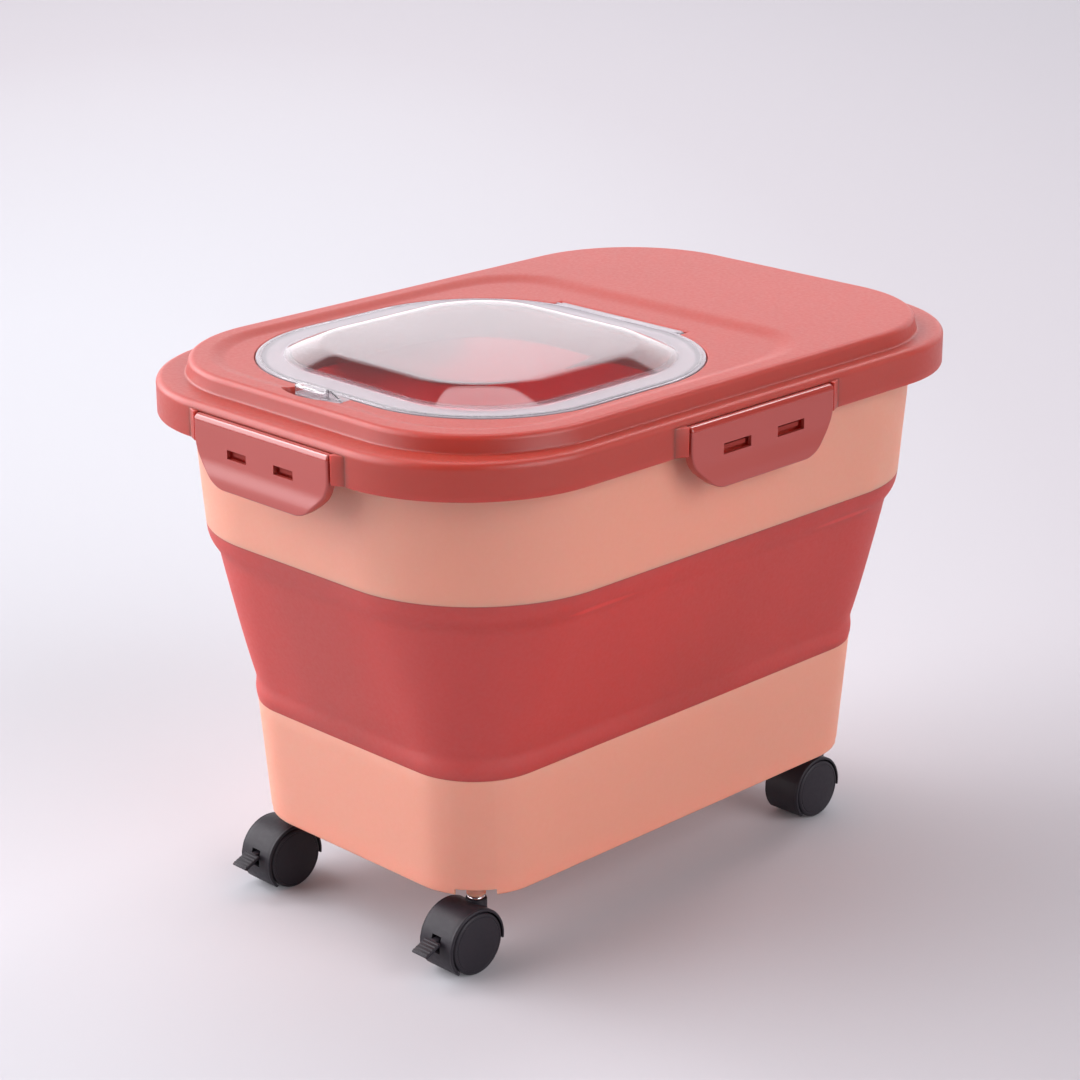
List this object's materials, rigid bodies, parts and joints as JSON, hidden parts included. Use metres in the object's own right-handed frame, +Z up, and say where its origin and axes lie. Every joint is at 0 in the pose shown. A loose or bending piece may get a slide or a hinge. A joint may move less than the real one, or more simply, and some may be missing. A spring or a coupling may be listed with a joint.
{
  "type": "collapsible pet food container",
  "caption": "Folding food bin on swivel casters, with a soft fold band, a clipped lid and a clear flip door with a low dome.",
  "frame": {"origin": "on the floor, under the middle of the container", "axes": "+Z up, +Y along the long way towards the plain end of the lid, the door is at the -Y end"},
  "size_m": [0.3216, 0.463, 0.3363],
  "materials": {
    "peach_plastic": "satin",
    "terracotta_plastic": "satin",
    "terracotta_rubber": "matte",
    "clear_plastic": "clear, polished",
    "clear_silicone": "translucent",
    "black_nylon": "fine texture",
    "steel": "drawn",
    "chrome_ring": "bright"
  },
  "bodies": {
    "tub": {"lower_tub": "peach_plastic", "fold_band": "terracotta_rubber", "caster_stem_front_left": "steel", "caster_ring_front_left": "chrome_ring", "caster_stem_front_right": "steel", "caster_ring_front_right": "chrome_ring", "caster_stem_back_left": "steel", "caster_ring_back_left": "chrome_ring", "caster_stem_back_right": "steel", "caster_ring_back_right": "chrome_ring"},
    "frame": {"upper_frame": "peach_plastic", "frame_rim": "peach_plastic", "rim_lug_right_1": "peach_plastic", "rim_lug_right_2": "peach_plastic", "rim_lug_left_1": "peach_plastic", "rim_lug_left_2": "peach_plastic", "rim_lug_front_1": "peach_plastic", "rim_lug_front_2": "peach_plastic", "rim_lug_back_1": "peach_plastic", "rim_lug_back_2": "peach_plastic"},
    "lid": {"lid_panel": "terracotta_plastic", "lid_plug": "terracotta_plastic", "lid_collar": "terracotta_plastic", "lid_gasket": "clear_silicone", "door_hinge_pin": "steel"},
    "door": {"door_panel": "clear_plastic", "door_seal": "clear_silicone"},
    "right_clip": {"clip_right": "terracotta_plastic"},
    "left_clip": {"clip_left": "terracotta_plastic"},
    "front_clip": {"clip_front": "terracotta_plastic"},
    "back_clip": {"clip_back": "terracotta_plastic"},
    "caster_front_left": {"caster_hood_front_left": "black_nylon"},
    "wheels_front_left": {"caster_axle_front_left": "steel", "caster_wheel_left_front_left": "black_nylon", "caster_wheel_right_front_left": "black_nylon"},
    "brake_front_left": {"brake_lever_front_left": "black_nylon"},
    "caster_front_right": {"caster_hood_front_right": "black_nylon"},
    "wheels_front_right": {"caster_axle_front_right": "steel", "caster_wheel_left_front_right": "black_nylon", "caster_wheel_right_front_right": "black_nylon"},
    "brake_front_right": {"brake_lever_front_right": "black_nylon"},
    "caster_back_left": {"caster_hood_back_left": "black_nylon"},
    "wheels_back_left": {"caster_axle_back_left": "steel", "caster_wheel_left_back_left": "black_nylon", "caster_wheel_right_back_left": "black_nylon"},
    "caster_back_right": {"caster_hood_back_right": "black_nylon"},
    "wheels_back_right": {"caster_axle_back_right": "steel", "caster_wheel_left_back_right": "black_nylon", "caster_wheel_right_back_right": "black_nylon"}
  },
  "joints": [
    {"name": "collapse", "type": "slide", "parent": "tub", "child": "frame", "axis": [0, 0, -1], "range_m": [0, 0.165], "deforming": ["fold_band"]},
    {"name": "lid_lift", "type": "slide", "parent": "frame", "child": "lid", "axis": [0, 0, 1], "range_m": [0, 0.06]},
    {"name": "door_hinge", "type": "hinge", "parent": "lid", "child": "door", "pos_m": [0, 0.0495, 0.3231], "axis": [-1, 0, 0], "range_deg": [0, 105]},
    {"name": "clip_right_hinge", "type": "hinge", "parent": "lid", "child": "right_clip", "pos_m": [0.1552, 0, 0.3108], "axis": [0, -1, 0], "range_deg": [0, 105]},
    {"name": "clip_left_hinge", "type": "hinge", "parent": "lid", "child": "left_clip", "pos_m": [-0.1552, 0, 0.3108], "axis": [0, 1, 0], "range_deg": [0, 105]},
    {"name": "clip_front_hinge", "type": "hinge", "parent": "lid", "child": "front_clip", "pos_m": [0, -0.2259, 0.3108], "axis": [-1, 0, 0], "range_deg": [0, 105]},
    {"name": "clip_back_hinge", "type": "hinge", "parent": "lid", "child": "back_clip", "pos_m": [0, 0.2259, 0.3108], "axis": [1, 0, 0], "range_deg": [0, 105]},
    {"name": "swivel_front_left", "type": "hinge", "parent": "tub", "child": "caster_front_left", "pos_m": [-0.0793, -0.1487, 0.0398], "axis": [0, 0, 1], "continuous": true},
    {"name": "wheels_front_left_roll", "type": "hinge", "parent": "caster_front_left", "child": "wheels_front_left", "pos_m": [-0.0793, -0.1601, 0.0185], "axis": [1, 0, 0], "continuous": true},
    {"name": "brake_front_left_press", "type": "hinge", "parent": "caster_front_left", "child": "brake_front_left", "pos_m": [-0.0793, -0.1696, 0.0235], "axis": [1, 0, 0], "range_deg": [0, 10]},
    {"name": "swivel_front_right", "type": "hinge", "parent": "tub", "child": "caster_front_right", "pos_m": [0.0793, -0.1487, 0.0398], "axis": [0, 0, 1], "continuous": true},
    {"name": "wheels_front_right_roll", "type": "hinge", "parent": "caster_front_right", "child": "wheels_front_right", "pos_m": [0.0793, -0.1601, 0.0185], "axis": [1, 0, 0], "continuous": true},
    {"name": "brake_front_right_press", "type": "hinge", "parent": "caster_front_right", "child": "brake_front_right", "pos_m": [0.0793, -0.1696, 0.0235], "axis": [1, 0, 0], "range_deg": [0, 10]},
    {"name": "swivel_back_left", "type": "hinge", "parent": "tub", "child": "caster_back_left", "pos_m": [-0.0793, 0.1487, 0.0398], "axis": [0, 0, 1], "continuous": true},
    {"name": "wheels_back_left_roll", "type": "hinge", "parent": "caster_back_left", "child": "wheels_back_left", "pos_m": [-0.0793, 0.1373, 0.0185], "axis": [1, 0, 0], "continuous": true},
    {"name": "swivel_back_right", "type": "hinge", "parent": "tub", "child": "caster_back_right", "pos_m": [0.0793, 0.1487, 0.0398], "axis": [0, 0, 1], "continuous": true},
    {"name": "wheels_back_right_roll", "type": "hinge", "parent": "caster_back_right", "child": "wheels_back_right", "pos_m": [0.0793, 0.1373, 0.0185], "axis": [1, 0, 0], "continuous": true}
  ]
}
